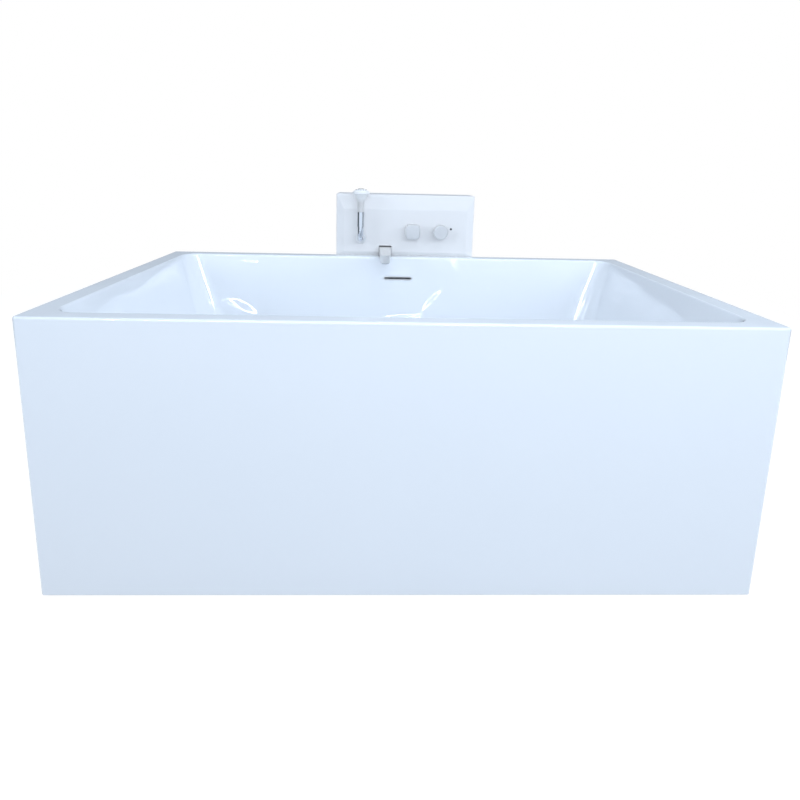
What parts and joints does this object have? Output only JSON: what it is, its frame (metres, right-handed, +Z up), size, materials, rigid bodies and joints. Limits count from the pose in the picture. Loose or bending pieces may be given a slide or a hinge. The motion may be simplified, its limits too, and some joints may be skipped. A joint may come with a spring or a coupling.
{
  "type": "freestanding bathtub",
  "caption": "Rectangular freestanding acrylic bathtub with sloped basin, overflow slot, pop-up drain and a rear filler console with spout, knobs and hand shower.",
  "frame": {"origin": "on the floor, at the middle of the centre foot's pad, which is the middle of the tub's plan", "axes": "+X along the tub to the right as the bather's side sees it, +Y towards the console, +Z up"},
  "size_m": [1.5, 0.9004, 0.8255],
  "materials": {
    "acrylic": "high gloss white acrylic with a faint blue tint",
    "timber": "plain plywood and batten, sealed",
    "frame_steel": "grey powder coat",
    "zinc_steel": "zinc plated",
    "rubber": "matt black",
    "chrome": "polished chrome",
    "brass": "machined brass",
    "copper": "drawn copper pipe",
    "waste_plastic": "off-white moulded plastic",
    "console_shell": "satin light grey lacquer",
    "grey_plastic": "satin silver-grey",
    "index_plastic": "dark grey"
  },
  "bodies": {
    "tub": {"basin_shell": "acrylic", "outer_skirt": "acrylic", "rim_battens": "timber", "base_board": "timber", "frame_rails": "frame_steel", "cross_members": "frame_steel", "foot_plate": "frame_steel", "foot_studs": "zinc_steel", "foot_nuts": "zinc_steel", "foot_pads": "rubber", "skirt_brackets": "zinc_steel", "frame_screws": "zinc_steel", "drain_flange": "chrome", "drain_gasket": "rubber", "drain_washer": "rubber", "drain_nut": "waste_plastic", "click_cartridge": "brass", "waste_tee": "waste_plastic", "tail_nut": "waste_plastic", "tailpiece": "waste_plastic", "overflow_trim": "chrome", "overflow_gasket": "rubber", "overflow_box": "waste_plastic", "overflow_pipe": "waste_plastic", "console_housing": "console_shell", "console_base": "frame_steel", "console_pads": "rubber", "back_cover": "console_shell", "console_screws": "zinc_steel", "console_spacers": "rubber", "console_bolts": "zinc_steel", "mounting_plate": "frame_steel", "fascia": "console_shell", "fascia_screws": "zinc_steel", "index_dot": "index_plastic", "valve_body": "brass", "flow_cartridge": "waste_plastic", "temperature_cartridge": "brass", "cartridge_nuts": "brass", "knob_collars": "chrome", "supply_pipes": "copper", "inlet_unions": "brass", "spout_feed": "copper", "handset_feed": "copper", "spout": "chrome", "aerator": "grey_plastic", "fitting_nuts": "brass", "handset_holder": "chrome", "holder_rosette": "chrome"},
    "flow_control": {"flow_knob": "chrome", "flow_spindle": "brass"},
    "temperature_control": {"temperature_knob": "chrome", "temperature_spindle": "brass"},
    "drain_plug": {"plug_cap": "chrome", "plug_seal": "rubber", "plug_stem": "chrome"},
    "hand_shower": {"handset_connector": "chrome", "handset_body": "grey_plastic", "spray_plate": "grey_plastic", "spray_nozzles": "index_plastic"}
  },
  "joints": [
    {"name": "flow_turn", "type": "hinge", "parent": "tub", "child": "flow_control", "pos_m": [0.047, 0.36, 0.685], "axis": [0, -1, 0], "range_deg": [-90, 90]},
    {"name": "temperature_turn", "type": "hinge", "parent": "tub", "child": "temperature_control", "pos_m": [0.14, 0.36, 0.685], "axis": [0, -1, 0], "range_deg": [-135, 135]},
    {"name": "plug_lift", "type": "slide", "parent": "tub", "child": "drain_plug", "axis": [0, 0, 1], "range_m": [0, 0.009]},
    {"name": "hand_shower_lift", "type": "slide", "parent": "tub", "child": "hand_shower", "axis": [0, 0, 1], "range_m": [0, 0.06]}
  ]
}
